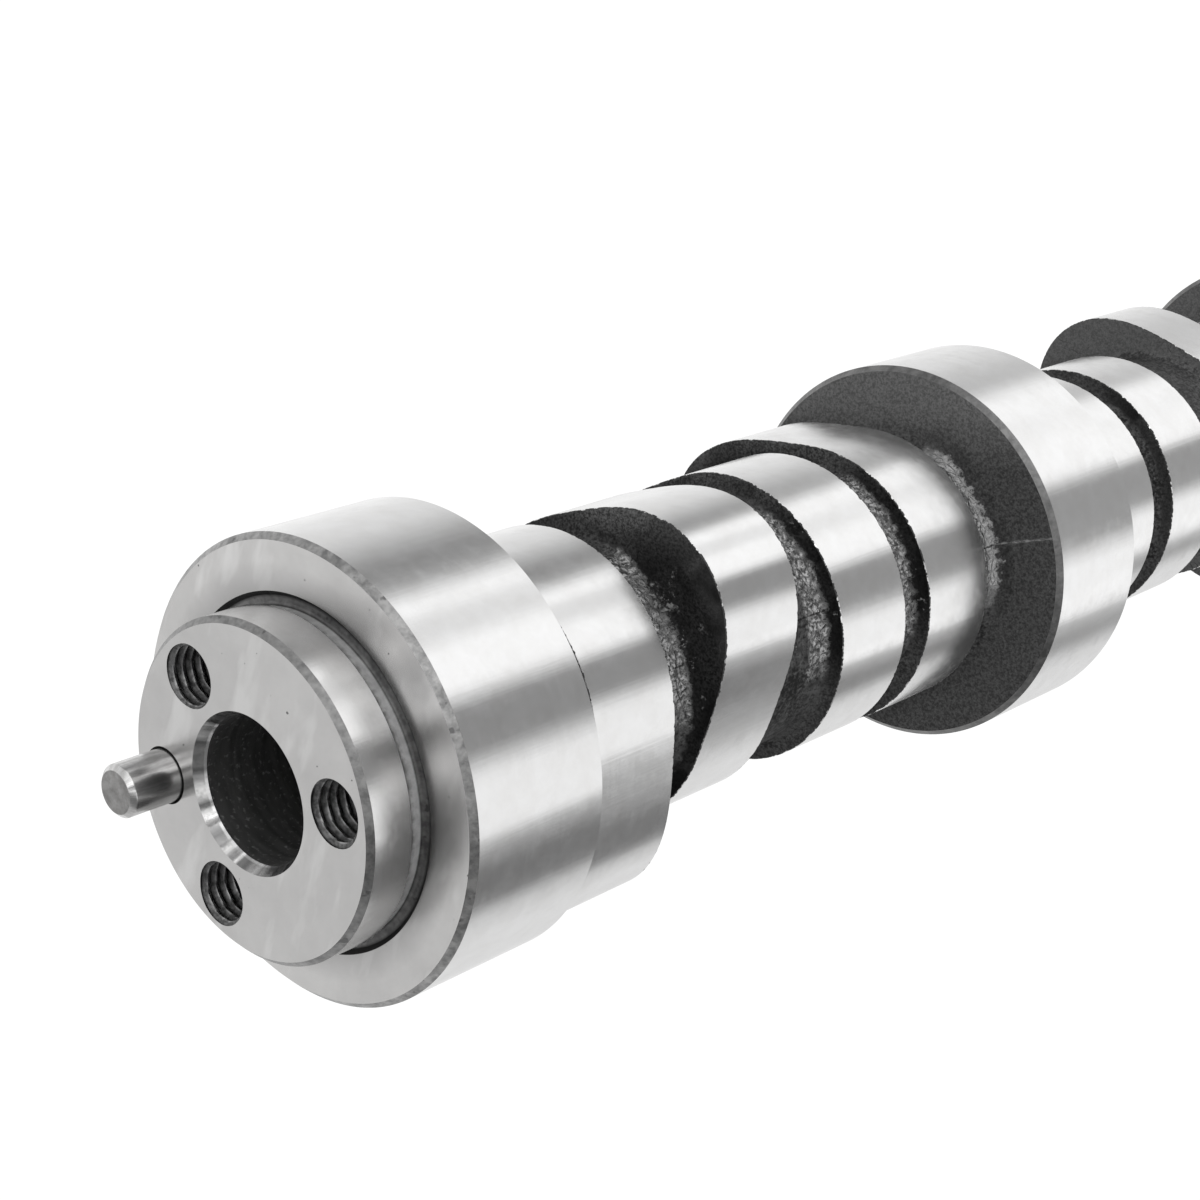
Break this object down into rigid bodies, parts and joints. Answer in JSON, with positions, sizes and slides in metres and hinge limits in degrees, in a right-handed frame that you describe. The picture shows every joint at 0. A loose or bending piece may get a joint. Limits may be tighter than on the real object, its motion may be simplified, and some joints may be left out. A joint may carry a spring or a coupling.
{
  "type": "camshaft",
  "caption": "Steel camshaft for a pushrod engine: bearing journals with cam lobes between them, and a bored nose, tapped for the timing gear's bolts and clocked by a dowel pin.",
  "frame": {"origin": "centre of the rear end face, which the shaft stands on", "axes": "+Z along the shaft's axis from the rear end to the nose, +X from the axis through the dowel pin; angles are counter-clockwise seen from the nose"},
  "size_m": [0.055, 0.055, 0.4836],
  "materials": {
    "shaft_steel": "bright ground journals and lobes, turned nose, and dark as-cast faces between them",
    "dowel_steel": "satin ground, with a chamfered end"
  },
  "bodies": {
    "root": {"camshaft": "shaft_steel", "dowel_pin": "dowel_steel"}
  },
  "joints": []
}
